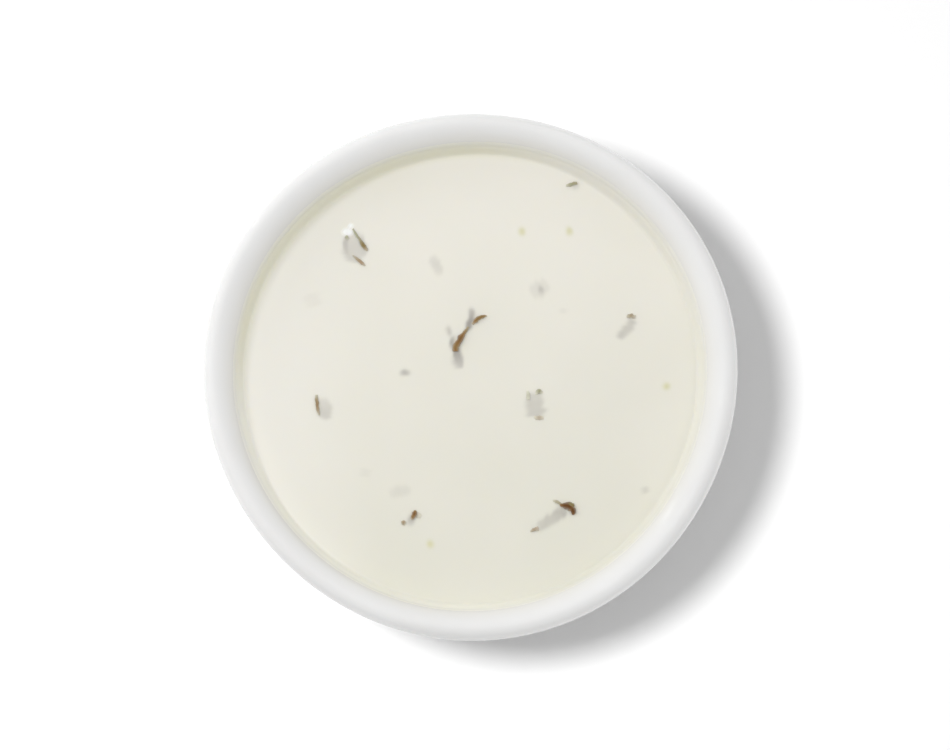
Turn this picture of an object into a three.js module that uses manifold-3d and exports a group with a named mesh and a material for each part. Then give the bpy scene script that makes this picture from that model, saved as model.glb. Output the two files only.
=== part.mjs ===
// A small glazed bowl filled with a creamy herb dressing. Millimetres, +Z up.
// The origin is at the middle of the foot, on the table. Angles are in degrees, anticlockwise from +X.
import * as THREE from "three";
import { mergeVertices } from "three/addons/utils/BufferGeometryUtils.js";
import Module from "manifold-3d";

// Bowl
const HEIGHT = 34;
const RIM_RADIUS = 40; // at the widest ring, just under the crest of the lip
const LIP_RADIUS = 1.65; // the lip's outer half is a quarter round
const LIP_INNER_WIDTH = 3.15; // its inner half is broader and slopes down to a soft shoulder
const LIP_INNER_DEPTH = 2.12;
const SHOULDER_SLOPE = 55; // how steep the lip has become at the shoulder
const WALL_TOP_STEP = 0.25; // under the shoulder the wall soon drops steeply
const WALL_TOP_DEPTH = 3.7;
const OUTER_LEAN = 8; // how far each face of the wall leans outwards under the lip
const INNER_LEAN = 10;
const FOOT_RADIUS = 21.5;
const FOOT_WIDTH = 2.6;
const FOOT_HEIGHT = 2;
const FOOT_ROUND = 0.5;
const FLOOR_HEIGHT = 5.2; // the inner floor above the table
const FLOOR_RADIUS = 8.6; // where the floor starts to curve up
const WARP = 0.3; // how far the rim is out of round, as three gentle corners
const WARP_CORNERS = 3;
const WARP_ANGLE = 36; // where the first corner lies

// Dressing
const FREEBOARD = 4.6; // from the crest of the lip down to the dressing
const LEVEL = HEIGHT - FREEBOARD;
const GAP = 0.1; // between the dressing and the glaze
const MENISCUS_RISE = 0.5;
const MENISCUS_WIDTH = 1.2;
const CALM_WIDTH = 6; // the swells die out over this ring, just inside the meniscus

// How finely the round and curved faces are divided
const SEGMENTS = 64;
const CURVE_STEPS = 7;
const MENISCUS_RINGS = 4;
const SURFACE_RINGS = 12;

// The broad swells left when the dressing was poured and settled
const swells = [
  { x: -12.5, y: 26, radius: 7, height: 0.22 },
  { x: -3, y: 14, radius: 9, height: 0.25 },
  { x: 14, y: 3, radius: 8, height: 0.28 },
  { x: 20, y: 20, radius: 7, height: -0.2 },
  { x: -16, y: -8, radius: 10, height: 0.16 },
  { x: 4, y: -24, radius: 9, height: -0.24 },
  { x: 26, y: -8, radius: 6, height: -0.12 },
];

// Dried leaves and bits of stalk that break the surface. Each lies along its heading and turns by
// its bend from end to end. One long edge is raised by its lift, and the other is sunk by as much.
const flakes = [
  { x: -17.6, y: 20.2, length: 5.4, width: 3.2, heading: -65, bend: 10, lift: 0.25 },
  { x: -0.4, y: 7.6, length: 6.4, width: 0.8, heading: -130, bend: -35, lift: 0.2 },
  { x: -2.2, y: 3, length: 3.2, width: 1.4, heading: -82, bend: 10, lift: 0.1 },
  { x: 10, y: -4.2, length: 4.6, width: 2.8, heading: 80, bend: 15, lift: 0.2 },
  { x: 14.6, y: -19.7, length: 3.6, width: 1.6, heading: -25, bend: -25, lift: 0.3 },
  { x: 11.4, y: -22.1, length: 4.8, width: 1.3, heading: 30, bend: 10, lift: 0.15 },
  { x: -8.6, y: -20.9, length: 2.6, width: 1, heading: 70, bend: 20, lift: 0.25 },
  { x: -10, y: -22.1, length: 1.6, width: 0.9, heading: 20, bend: 0, lift: 0.15 },
  { x: -22.8, y: -4.6, length: 3.4, width: 2.2, heading: -75, bend: 20, lift: 0.2 },
  { x: 24.1, y: 8, length: 3.8, width: 1.4, heading: 62, bend: 15, lift: 0.2 },
  { x: 15.3, y: 30.1, length: 2, width: 0.8, heading: 18, bend: 0, lift: 0.2 },
  { x: -10, y: 0.9, length: 1.2, width: 0.9, heading: 0, bend: 0, lift: 0.15 },
];
const FLAKE_THICKNESS = 0.35;
const FLAKE_PROUD = 0.05; // how far the middle of a leaf's upper face stands above the surface
const FLAKE_WAVE = 0.05;
const FLAKE_TIP = 0.25; // a leaf's half width at its tips, as a share of its widest
const FLAKE_RAGGED = 0.15;
const STEPS_ALONG = 6;
const STEPS_ACROSS = 3;

// Pale grains of dried onion and garlic, almost level with the surface
const grains = [
  { x: 7.8, y: 22.8 },
  { x: 14.9, y: 23 },
  { x: 29.7, y: -1.2 },
  { x: -6.2, y: -25.6 },
];
const GRAIN_RADIUS = 0.65;
const GRAIN_SUNK = 0.3;

const glaze = new THREE.MeshStandardMaterial({ color: 0xf3f2ef, roughness: 0.16, metalness: 0 });
const cream = new THREE.MeshStandardMaterial({ color: 0xe9e6da, roughness: 0.4, metalness: 0 });

const radians = THREE.MathUtils.degToRad;
const smoothstep = THREE.MathUtils.smoothstep;

// The point at a distance down a face that leans outwards by an angle in degrees, or up it if negative.
function downFace(from, lean, distance) {
  const angle = radians(lean);
  return new THREE.Vector2(from.x - distance * Math.sin(angle), from.y - distance * Math.cos(angle));
}

function curveTo(path, handleA, handleB, end) {
  path.bezierCurveTo(handleA.x, handleA.y, handleB.x, handleB.y, end.x, end.y);
}

// The inner face, from the crest of the lip down to the middle of the floor.
function innerWall() {
  const crest = new THREE.Vector2(RIM_RADIUS - LIP_RADIUS, HEIGHT);
  const shoulder = new THREE.Vector2(crest.x - LIP_INNER_WIDTH, HEIGHT - LIP_INNER_DEPTH);
  const wallTop = new THREE.Vector2(shoulder.x - WALL_TOP_STEP, HEIGHT - WALL_TOP_DEPTH);
  const overCrest = new THREE.Vector2(crest.x - LIP_INNER_WIDTH * 0.29, HEIGHT);
  const aboveShoulder = downFace(shoulder, 90 - SHOULDER_SLOPE, -LIP_INNER_WIDTH * 0.41);
  const belowShoulder = downFace(shoulder, 90 - SHOULDER_SLOPE, LIP_INNER_WIDTH * 0.1);
  const aboveWallTop = downFace(wallTop, INNER_LEAN, -LIP_INNER_WIDTH * 0.25);
  const belowWallTop = downFace(wallTop, INNER_LEAN, HEIGHT * 0.35);
  const alongFloor = new THREE.Vector2(FLOOR_RADIUS + HEIGHT * 0.47, FLOOR_HEIGHT);
  const wall = new THREE.Path().moveTo(crest.x, crest.y);
  curveTo(wall, overCrest, aboveShoulder, shoulder);
  curveTo(wall, belowShoulder, aboveWallTop, wallTop);
  curveTo(wall, belowWallTop, alongFloor, new THREE.Vector2(FLOOR_RADIUS, FLOOR_HEIGHT));
  wall.lineTo(0, FLOOR_HEIGHT);
  return wall.getPoints(CURVE_STEPS);
}

// The outer face, from the recess under the floor, round the foot ring and up to the crest.
function outerWall() {
  const inside = FOOT_RADIUS - FOOT_WIDTH;
  const top = new THREE.Vector2(FOOT_RADIUS + FOOT_ROUND, FOOT_HEIGHT);
  const lip = new THREE.Vector2(RIM_RADIUS - LIP_RADIUS, HEIGHT - LIP_RADIUS);
  const lean = radians(OUTER_LEAN);
  const under = new THREE.Vector2(
    lip.x + LIP_RADIUS * Math.cos(lean),
    lip.y - LIP_RADIUS * Math.sin(lean),
  );
  const overFoot = new THREE.Vector2(top.x + HEIGHT * 0.25, top.y + FOOT_HEIGHT * 0.75);
  const wall = new THREE.Path().moveTo(0, FOOT_HEIGHT);
  wall.lineTo(inside - FOOT_ROUND, FOOT_HEIGHT);
  wall.lineTo(inside, FOOT_ROUND);
  wall.lineTo(inside + FOOT_ROUND, 0);
  wall.lineTo(FOOT_RADIUS - FOOT_ROUND, 0);
  wall.lineTo(FOOT_RADIUS, FOOT_ROUND);
  wall.lineTo(top.x, top.y);
  curveTo(wall, overFoot, downFace(under, OUTER_LEAN, HEIGHT * 0.4), under);
  wall.absarc(lip.x, lip.y, LIP_RADIUS, -lean, Math.PI / 2, false);
  return wall.getPoints(CURVE_STEPS);
}

// A profile of radii and heights turned about the Z axis.
function turned(profile) {
  return new THREE.LatheGeometry(profile, SEGMENTS).rotateX(Math.PI / 2);
}

// The wall drifts out of round as it rises from the round foot, and the dressing follows it.
function warped(geometry) {
  const position = geometry.attributes.position;
  for (let i = 0; i < position.count; i++) {
    const x = position.getX(i);
    const y = position.getY(i);
    const rise = smoothstep(position.getZ(i), FOOT_HEIGHT, HEIGHT);
    const corner = Math.cos(WARP_CORNERS * (Math.atan2(y, x) - radians(WARP_ANGLE)));
    const scale = 1 + (WARP / RIM_RADIUS) * rise * corner;
    position.setXY(i, x * scale, y * scale);
  }
  return geometry;
}

function makeBowl() {
  const profile = [...outerWall(), ...innerWall().slice(1)];
  const bowl = new THREE.Mesh(warped(turned(profile)), glaze);
  bowl.name = "bowl";
  return bowl;
}

// The dressing's radius where its edge meets the inner wall.
function edgeRadius() {
  const edgeHeight = LEVEL + MENISCUS_RISE;
  const wall = innerWall();
  const below = wall.findIndex((p) => p.y < edgeHeight);
  const high = wall[below - 1];
  const low = wall[below];
  const share = (high.y - edgeHeight) / (high.y - low.y);
  return THREE.MathUtils.lerp(high.x, low.x, share) - GAP;
}

function swellHeight(x, y) {
  let height = 0;
  for (const swell of swells) {
    const distance = Math.hypot(x - swell.x, y - swell.y);
    height += swell.height * Math.exp(-((distance / swell.radius) ** 2));
  }
  return height;
}

// The dressing follows the inner wall up from the floor, climbs the glaze a little at its edge, and
// comes back to the middle over its open surface.
function dressingBody() {
  const edge = edgeRadius();
  const open = edge - MENISCUS_WIDTH;
  const profile = [];
  for (const p of innerWall().reverse()) {
    const lifted = p.y + GAP * (1 - p.y / LEVEL);
    if (p.y < LEVEL) profile.push(new THREE.Vector2(Math.max(p.x - GAP, 0), lifted));
  }
  for (let i = 0; i <= MENISCUS_RINGS; i++) {
    const inward = i / MENISCUS_RINGS;
    const climb = MENISCUS_RISE * (1 - inward) ** 2;
    profile.push(new THREE.Vector2(edge - MENISCUS_WIDTH * inward, LEVEL + climb));
  }
  for (let i = 1; i <= SURFACE_RINGS; i++) {
    profile.push(new THREE.Vector2(open * (1 - i / SURFACE_RINGS), LEVEL));
  }
  const geometry = turned(profile);
  const position = geometry.attributes.position;
  for (let i = 0; i < position.count; i++) {
    const x = position.getX(i);
    const y = position.getY(i);
    const z = position.getZ(i);
    const fade = 1 - smoothstep(Math.hypot(x, y), open - CALM_WIDTH, open);
    if (z > LEVEL - GAP) position.setZ(i, z + fade * swellHeight(x, y));
  }
  return warped(geometry);
}

// The points of one face of a leaf, a grid that bends, waves and tilts with it.
function flakeFace({ x, y, length, width, heading, bend, lift }, drop) {
  const points = [];
  for (let i = 0; i <= STEPS_ALONG; i++) {
    const s = (2 * i) / STEPS_ALONG - 1;
    const turn = radians(heading + (bend * s) / 2);
    const outline = FLAKE_TIP + (1 - FLAKE_TIP) * Math.sqrt(1 - s * s);
    const ragged = 1 + FLAKE_RAGGED * Math.sin(5 * s + x);
    for (let j = 0; j <= STEPS_ACROSS; j++) {
      const t = (2 * j) / STEPS_ACROSS - 1;
      const along = (s * length) / 2;
      const across = (t * width * outline * ragged) / 2;
      const px = x + Math.cos(turn) * along - Math.sin(turn) * across;
      const py = y + Math.sin(turn) * along + Math.cos(turn) * across;
      const wave = FLAKE_WAVE * Math.sin(3 * s + y);
      points.push(px, py, LEVEL + swellHeight(px, py) + FLAKE_PROUD + wave + lift * t - drop);
    }
  }
  return points;
}

// A thin leaf whose two faces are split alike and joined round their edge.
function flakeBody(flake) {
  const points = [...flakeFace(flake, FLAKE_THICKNESS), ...flakeFace(flake, 0)];
  const row = STEPS_ACROSS + 1;
  const above = row * (STEPS_ALONG + 1);
  const index = [];
  const quad = (a, b, c, d) => index.push(a, b, c, a, c, d);
  for (let i = 0; i < STEPS_ALONG; i++) {
    for (let j = 0; j < STEPS_ACROSS; j++) {
      const a = i * row + j;
      const next = a + row;
      quad(a, a + 1, next + 1, next);
      quad(above + a, above + next, above + next + 1, above + a + 1);
    }
    const near = i * row;
    const far = near + STEPS_ACROSS;
    quad(near, near + row, above + near + row, above + near);
    quad(far + row, far, above + far, above + far + row);
  }
  for (let j = 0; j < STEPS_ACROSS; j++) {
    const end = STEPS_ALONG * row + j;
    quad(j + 1, j, above + j, above + j + 1);
    quad(end, end + 1, above + end + 1, above + end);
  }
  const geometry = new THREE.BufferGeometry();
  geometry.setAttribute("position", new THREE.Float32BufferAttribute(points, 3));
  geometry.setIndex(index);
  return geometry;
}

function grainBody({ x, y }) {
  const ball = new THREE.SphereGeometry(GRAIN_RADIUS, 8, 6);
  return ball.translate(x, y, LEVEL + swellHeight(x, y) - GRAIN_SUNK);
}

const wasm = await Module();
wasm.setup();

function solidOf(geometry) {
  const bare = geometry.clone();
  bare.deleteAttribute("normal");
  bare.deleteAttribute("uv");
  const merged = mergeVertices(bare, 1e-3);
  const mesh = new wasm.Mesh({
    numProp: 3,
    vertProperties: merged.attributes.position.array,
    triVerts: new Uint32Array(merged.index.array),
  });
  return new wasm.Manifold(mesh);
}

function geometryOf(solid) {
  const mesh = solid.getMesh();
  const geometry = new THREE.BufferGeometry();
  geometry.setAttribute("position", new THREE.BufferAttribute(mesh.vertProperties, 3));
  geometry.setIndex(new THREE.BufferAttribute(mesh.triVerts, 1));
  geometry.computeVertexNormals();
  return geometry;
}

function makeDressing() {
  let solid = solidOf(dressingBody());
  for (const flake of flakes) solid = solid.add(solidOf(flakeBody(flake)));
  for (const grain of grains) solid = solid.add(solidOf(grainBody(grain)));
  const dressing = new THREE.Mesh(geometryOf(solid), cream);
  dressing.name = "dressing";
  return dressing;
}

const part = new THREE.Group();
part.add(makeBowl(), makeDressing());

export default part;
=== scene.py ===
# %% [markdown]
# # A small bowl of ranch dressing
# A white glazed bowl, about 80 mm across, is filled almost to its lip with a pale creamy dressing. Dried
# herbs float in it, most of them just under the surface. The solids of the bowl and of the dressing come
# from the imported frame, and this lesson gives both their looks: a fine, smooth glaze and a dense, softly
# swelling surface of cream with its herbs.

import math

import bmesh
import bpy
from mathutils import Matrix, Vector, noise
from mathutils.bvhtree import BVHTree
from mathutils.geometry import interpolate_bezier


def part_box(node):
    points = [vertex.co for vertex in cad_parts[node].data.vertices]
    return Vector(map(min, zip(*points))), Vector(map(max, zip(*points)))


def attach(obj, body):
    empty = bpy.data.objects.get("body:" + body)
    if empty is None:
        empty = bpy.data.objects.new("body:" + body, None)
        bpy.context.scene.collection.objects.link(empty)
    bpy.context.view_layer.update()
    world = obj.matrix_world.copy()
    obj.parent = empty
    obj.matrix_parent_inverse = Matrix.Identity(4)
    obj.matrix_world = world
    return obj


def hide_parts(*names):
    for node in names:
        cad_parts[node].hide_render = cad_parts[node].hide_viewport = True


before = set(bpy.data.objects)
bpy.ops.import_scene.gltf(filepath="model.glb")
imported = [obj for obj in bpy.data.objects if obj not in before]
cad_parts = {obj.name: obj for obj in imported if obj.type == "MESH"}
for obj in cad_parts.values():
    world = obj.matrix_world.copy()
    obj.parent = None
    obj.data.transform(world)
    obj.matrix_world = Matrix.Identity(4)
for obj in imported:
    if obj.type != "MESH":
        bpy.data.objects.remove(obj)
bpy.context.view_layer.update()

MM = 0.001
print("solids:", sorted(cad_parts))

# %% [markdown]
# ## Sizes
# Blender works in metres here, and a potter thinks in millimetres, so every size is written as a number
# of millimetres times MM. The rim and the height are read from the frame, so the fine bowl can't drift
# away from its solid. Most of the rest are the driving sizes that the solids were turned from. Some forms
# are finer here than in the solids: the edge of the dressing climbs further up the wall, the lip is a
# little thinner in two places, and the leaves have torn edges and parts that lie under the surface.

# %% Sizes of the bowl and the dressing
bowl_low, bowl_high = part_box("bowl")
RIM_RADIUS = (bowl_high.x - bowl_low.x) / 2
HEIGHT = bowl_high.z
LIP_RADIUS = 1.65 * MM
LIP_INNER_WIDTH = 3.15 * MM
LIP_INNER_DEPTH = 2.12 * MM
SHOULDER_SLOPE = math.radians(55)
WALL_TOP_STEP = 0.25 * MM
WALL_TOP_DEPTH = 3.7 * MM
OUTER_LEAN = math.radians(8)
INNER_LEAN = math.radians(10)
FOOT_RADIUS = 21.5 * MM
FOOT_WIDTH = 2.6 * MM
FOOT_HEIGHT = 2 * MM
FOOT_ROUND = 0.5 * MM
FLOOR_HEIGHT = 5.2 * MM
FLOOR_RADIUS = 8.6 * MM
LEVEL = HEIGHT - 4.6 * MM
MENISCUS_RISE = 1.9 * MM
MENISCUS_WIDTH = 1.2 * MM
CALM_WIDTH = 6 * MM
# Where the lip is thinner, so that the dressing reaches further out: the azimuth and the width of the place
# in degrees, and how much thinner it is there.
THINNER_LIP = [(228, 42, 0.5 * MM), (72, 30, 0.45 * MM)]
print(f"rim {2 * RIM_RADIUS / MM:.1f} mm across, {HEIGHT / MM:.1f} mm high, level at {LEVEL / MM:.1f} mm")

# %% [markdown]
# ## The camera
# The photo looks down on the bowl, but not quite straight down. A round rim seen from right above is a
# circle; this one is a little wider than it is high, and more of the far inner wall shows than of the
# near one. Both say that the camera leans about ten degrees towards the viewer. A long lens keeps the
# bowl's sides from spreading.

# %% Camera
CAMERA_ELEVATION = math.radians(80)
CAMERA_DISTANCE = 593 * MM
CAMERA_AIM = Vector((0.6 * MM, -0.3 * MM, 32 * MM))

camera_data = bpy.data.cameras.new("camera")
camera_data.lens = 150
camera_data.sensor_width = 36
camera_data.clip_start = 10 * MM
camera = bpy.data.objects.new("camera", camera_data)
towards_camera = Vector((0, -math.cos(CAMERA_ELEVATION), math.sin(CAMERA_ELEVATION)))
camera.location = CAMERA_AIM + towards_camera * CAMERA_DISTANCE
camera.rotation_euler = (math.radians(90) - CAMERA_ELEVATION, 0, 0)
bpy.context.collection.objects.link(camera)
bpy.context.scene.camera = camera
print(f"camera {CAMERA_DISTANCE / MM:.0f} mm away, lens {camera_data.lens:.0f} mm")

# %% [markdown]
# ## Light and floor
# The photo is a usual packshot, and its light can be read from it. The thin dark crescent on the dressing
# at the upper left is the shadow of the rim, so the main lamp stands at the upper left, halfway up. The
# inside of the wall is bright nearly all round, so large softboxes stand low around the bowl, and a few
# stand higher. The short shadow on the table doesn't belong to that main lamp, and was probably laid in
# later, as is usual with cut-out pictures. Light linking does the same here: a lamp that is linked to a
# collection lights only what is in it. The main lamp lights only the food and its bowl, and a lamp nearly
# overhead draws the short shadow.

# %% World and light linking
scene = bpy.context.scene
scene.view_settings.view_transform = "Standard"
scene.view_settings.look = "None"

world = bpy.data.worlds.new("white_surround")
world.use_nodes = True
world.node_tree.nodes["Background"].inputs["Color"].default_value = (1, 1, 1, 1)
world.node_tree.nodes["Background"].inputs["Strength"].default_value = 0.22
scene.world = world

bowl_and_food = bpy.data.collections.new("bowl_and_food")
table_top = bpy.data.collections.new("table_top")
print("linked to their own lamps:", bowl_and_food.name, "and", table_top.name)

# %% [markdown]
# Every lamp is a soft round area lamp that faces the bowl, so one helper places them all by azimuth and
# elevation. None of them shows as a reflection: the photo has hardly any glints, and the plain white world
# gives the glaze its even sheen.


# %% Main lamps
def lamp(name, azimuth, elevation, distance, size, power, lights_only=bowl_and_food):
    data = bpy.data.lights.new(name, "AREA")
    data.shape = "DISK"
    data.size = size
    data.energy = power
    made = bpy.data.objects.new(name, data)
    flat = math.cos(math.radians(elevation))
    turn = math.radians(azimuth)
    away = Vector((math.cos(turn) * flat, math.sin(turn) * flat, math.sin(math.radians(elevation))))
    made.location = CAMERA_AIM + away * distance
    made.rotation_euler = away.to_track_quat("Z", "Y").to_euler()
    made.visible_camera = False
    made.visible_glossy = False
    made.light_linking.receiver_collection = lights_only
    bpy.context.collection.objects.link(made)
    return made


lamp("main_lamp", azimuth=156, elevation=46, distance=0.6, size=0.13, power=0.6)
lamp("overhead_fill", azimuth=192, elevation=76, distance=0.6, size=0.1, power=1.2)

# %% Softboxes around the bowl
SOFTBOX_DISTANCE = 0.7
SOFTBOX_SIZE = 0.5
# Each softbox is its azimuth and its elevation in degrees, and its power in watts.
SOFTBOXES = [
    (0, 12, 0.45),
    (60, 12, 0.38),
    (135, 12, 1.15),
    (180, 12, 1.13),
    (315, 12, 0.49),
    (90, 32, 0.5),
    (0, 55, 0.6),
    (315, 55, 0.56),
]
for azimuth, elevation, power in SOFTBOXES:
    name = f"softbox_{azimuth}_{elevation}"
    lamp(name, azimuth, elevation, SOFTBOX_DISTANCE, SOFTBOX_SIZE, power)
print("softboxes:", len(SOFTBOXES))

# %% Lamps for the table only
lamp("shadow_lamp", azimuth=192, elevation=74.4, distance=0.8, size=0.14, power=4.4, lights_only=table_top)
lamp("table_fill", azimuth=0, elevation=89.9, distance=1.2, size=1.6, power=4.6, lights_only=table_top)
lamp("table_side_fill", 0, 12, SOFTBOX_DISTANCE, SOFTBOX_SIZE, power=0.4, lights_only=table_top)

# %% [markdown]
# The one exception is a tall narrow lamp that only shows in the glaze, as one soft glint on the lip.

# %% Glint lamp
glint = lamp("strip_lamp", azimuth=136, elevation=14, distance=0.6, size=0.02, power=0.035)
glint.data.shape = "RECTANGLE"
glint.data.size_y = 0.1
glint.visible_glossy = True
glint.visible_diffuse = False

# %% Floor
FLOOR_HALF_WIDTH = 3
floor_mesh = bpy.data.meshes.new("floor")
bm = bmesh.new()
bmesh.ops.create_grid(bm, x_segments=1, y_segments=1, size=FLOOR_HALF_WIDTH)
bm.to_mesh(floor_mesh)
bm.free()
floor = bpy.data.objects.new("floor", floor_mesh)
bpy.context.collection.objects.link(floor)
table_top.objects.link(floor)
print("lamps:", len(bpy.data.lights))

# %% [markdown]
# ## Materials by nodes
# Every finish here starts from a Principled shader. A few helpers keep the node code short: one makes the
# material and hands back what is needed to build on it, and one adds a node, sets its options and links
# or sets its inputs. The others make the usual steps of a finish from those two: a blend of two colours,
# soft blotches, a change of range, a value that the mesh keeps for each of its points, the place along an
# axis, and a sum.


# %% Node helpers
def new_finish(name):
    material = bpy.data.materials.new(name)
    material.use_nodes = True
    return material, material.node_tree.nodes["Principled BSDF"]


def node(material, kind, inputs=(), **options):
    made = material.node_tree.nodes.new(kind)
    for option, value in options.items():
        setattr(made, option, value)
    for socket, value in dict(inputs).items():
        feed(material, made.inputs[socket], value)
    return made


def feed(material, socket, value):
    if isinstance(value, bpy.types.NodeSocket):
        material.node_tree.links.new(value, socket)
    else:
        socket.default_value = value


def blend_colours(material, factor, first, second):
    """Mixes two colours. The node has sockets for every kind of value, and the colours use 6, 7 and out 2."""
    mixer = node(material, "ShaderNodeMix", data_type="RGBA")
    feed(material, mixer.inputs[0], factor)
    feed(material, mixer.inputs[6], first)
    feed(material, mixer.inputs[7], second)
    return mixer.outputs[2]


def noise_pattern(material, size, detail=2.0):
    """Soft random blotches about as wide as size, fixed to the object."""
    place = node(material, "ShaderNodeTexCoord")
    inputs = {"Vector": place.outputs["Object"], "Scale": 1 / size, "Detail": detail}
    return node(material, "ShaderNodeTexNoise", inputs).outputs["Fac"]


def spread(material, value, low, high, out_low=0.0, out_high=1.0):
    inputs = {0: value, 1: low, 2: high, 3: out_low, 4: out_high}
    return node(material, "ShaderNodeMapRange", inputs).outputs[0]


def kept_by_mesh(material, name):
    return node(material, "ShaderNodeAttribute", attribute_name=name).outputs["Fac"]


def place_along(material, axis):
    place = node(material, "ShaderNodeTexCoord")
    return node(material, "ShaderNodeSeparateXYZ", {0: place.outputs["Object"]}).outputs[axis]


def total(material, first, second):
    return node(material, "ShaderNodeMath", {0: first, 1: second}, operation="ADD").outputs[0]


# %% Floor finish
floor_finish, shader = new_finish("white_paper")
shader.inputs["Base Color"].default_value = (0.97, 0.97, 0.97, 1)
shader.inputs["Roughness"].default_value = 0.9
shader.inputs["Specular IOR Level"].default_value = 0.1
floor.data.materials.append(floor_finish)
print("finishes:", len(bpy.data.materials))

# %% [markdown]
# ## The bowl's profile
# A bowl like this is thrown or pressed round an axis, so half of its section says everything. The section
# is drawn as a few curves: up the outside from the foot, round the lip, and down the inside to the floor.
# The lip's outer half is a quarter round. Its inner half is broader: it rolls over into a slope, and at a
# soft shoulder it turns down into the wall, which is steep where the dressing meets it.


# %% Profile helpers
def smoothstep(value, low, high):
    share = min(max((value - low) / (high - low), 0), 1)
    return share * share * (3 - 2 * share)


def at(radius, height):
    return Vector((radius, 0, height))


def down_face(start, lean, distance):
    return start - at(math.sin(lean), math.cos(lean)) * distance


def curve(start, handle_a, handle_b, end, steps):
    """The points of a curve after its start."""
    return interpolate_bezier(start, handle_a, handle_b, end, steps + 1)[1:]


# %% Inner face of the wall
# How far the handles of the lip's curves reach, as shares of the lip's inner width.
CREST_ROLL = 0.29
SLOPE_REACH = 0.41
SHOULDER_TURN = 0.1
WALL_TOP_TURN = 0.25
# How far the handles of the wall's curve reach, as shares of the height.
WALL_REACH = 0.35
FLOOR_REACH = 0.47


def inner_wall():
    crest = at(RIM_RADIUS - LIP_RADIUS, HEIGHT)
    shoulder = crest - at(LIP_INNER_WIDTH, LIP_INNER_DEPTH)
    wall_top = at(shoulder.x - WALL_TOP_STEP, HEIGHT - WALL_TOP_DEPTH)
    up_the_slope = at(math.cos(SHOULDER_SLOPE), math.sin(SHOULDER_SLOPE))
    over_crest = crest - at(LIP_INNER_WIDTH * CREST_ROLL, 0)
    above_shoulder = shoulder + up_the_slope * LIP_INNER_WIDTH * SLOPE_REACH
    below_shoulder = shoulder - up_the_slope * LIP_INNER_WIDTH * SHOULDER_TURN
    above_wall_top = down_face(wall_top, INNER_LEAN, -LIP_INNER_WIDTH * WALL_TOP_TURN)
    below_wall_top = down_face(wall_top, INNER_LEAN, HEIGHT * WALL_REACH)
    along_floor = at(FLOOR_RADIUS + HEIGHT * FLOOR_REACH, FLOOR_HEIGHT)
    floor_edge = at(FLOOR_RADIUS, FLOOR_HEIGHT)
    points = [crest]
    points += curve(crest, over_crest, above_shoulder, shoulder, 20)
    points += curve(shoulder, below_shoulder, above_wall_top, wall_top, 10)
    points += curve(wall_top, below_wall_top, along_floor, floor_edge, 36)
    return points + [at(0, FLOOR_HEIGHT)]


# %% Radius of the inner face
WALL = inner_wall()


def wall_radius(z):
    """The inner wall's radius at a height, before it drifts out of round."""
    for high, low in zip(WALL, WALL[1:]):
        if low.z <= z < high.z:
            return low.x + (high.x - low.x) * (z - low.z) / (high.z - low.z)
    return WALL[0].x


# %% Outer face of the wall
# How far the handles of the outer curve reach, as shares of the height and of the foot's height.
FOOT_REACH = 0.25
FOOT_RISE = 0.75
OUTER_REACH = 0.4
LIP_STEPS = 20


def outer_wall():
    inside = FOOT_RADIUS - FOOT_WIDTH
    top = at(FOOT_RADIUS + FOOT_ROUND, FOOT_HEIGHT)
    lip = at(RIM_RADIUS - LIP_RADIUS, HEIGHT - LIP_RADIUS)
    under = lip + at(math.cos(OUTER_LEAN), -math.sin(OUTER_LEAN)) * LIP_RADIUS
    over_foot = top + at(HEIGHT * FOOT_REACH, FOOT_HEIGHT * FOOT_RISE)
    points = [at(0, FOOT_HEIGHT), at(inside - FOOT_ROUND, FOOT_HEIGHT), at(inside, 0)]
    points += [at(FOOT_RADIUS, 0), top]
    points += curve(top, over_foot, down_face(under, OUTER_LEAN, HEIGHT * OUTER_REACH), under, 36)
    for step in range(1, LIP_STEPS + 1):
        angle = -OUTER_LEAN + (math.pi / 2 + OUTER_LEAN) * step / LIP_STEPS
        points.append(lip + at(math.cos(angle), math.sin(angle)) * LIP_RADIUS)
    return points


print("profile points:", len(outer_wall()) + len(WALL) - 1)

# %% [markdown]
# ## Turning the bowl
# Spin is Blender's potter's wheel: it turns the profile's edges round the Z axis and joins the last step
# to the first. The two ends of the profile lie on the axis, so their many copies are merged into one
# point each. The real rim isn't a perfect circle. It has three gentle corners, which fade out towards
# the round foot, so each point is moved outwards or inwards a little by its angle and height. The inner
# face moves out a little more where the lip is thinner, fading out towards the crest and down the wall.

# %% Drift out of round
WARP = 0.3 * MM
WARP_CORNERS = 3
WARP_ANGLE = math.radians(36)


def drift(x, y, z):
    """How far the wall swells at this place, as a scale of its radius."""
    rise = smoothstep(z, FOOT_HEIGHT, HEIGHT)
    return 1 + WARP / RIM_RADIUS * rise * math.cos(WARP_CORNERS * (math.atan2(y, x) - WARP_ANGLE))


def thinner(x, y, z):
    """How much further out than its profile the inner face lies at this place."""
    azimuth = math.degrees(math.atan2(y, x)) % 360
    shift = 0
    for middle, width, extra in THINNER_LIP:
        shift += extra * math.exp(-(((azimuth - middle) / width) ** 2))
    below = smoothstep(z, LEVEL - 2 * LIP_INNER_WIDTH, LEVEL)
    return shift * below * (1 - smoothstep(z, HEIGHT - LIP_INNER_DEPTH, HEIGHT))


# %% Spin a profile and finish a piece
def turn_profile(profile, steps):
    bm = bmesh.new()
    verts = [bm.verts.new(point) for point in profile]
    edges = [bm.edges.new(pair) for pair in zip(verts, verts[1:])]
    wheel = {"axis": (0, 0, 1), "cent": (0, 0, 0), "angle": math.tau, "steps": steps}
    bmesh.ops.spin(bm, geom=verts + edges, use_merge=True, **wheel)
    bmesh.ops.remove_doubles(bm, verts=bm.verts, dist=0.001 * MM)
    bmesh.ops.recalc_face_normals(bm, faces=bm.faces)
    return bm


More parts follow.
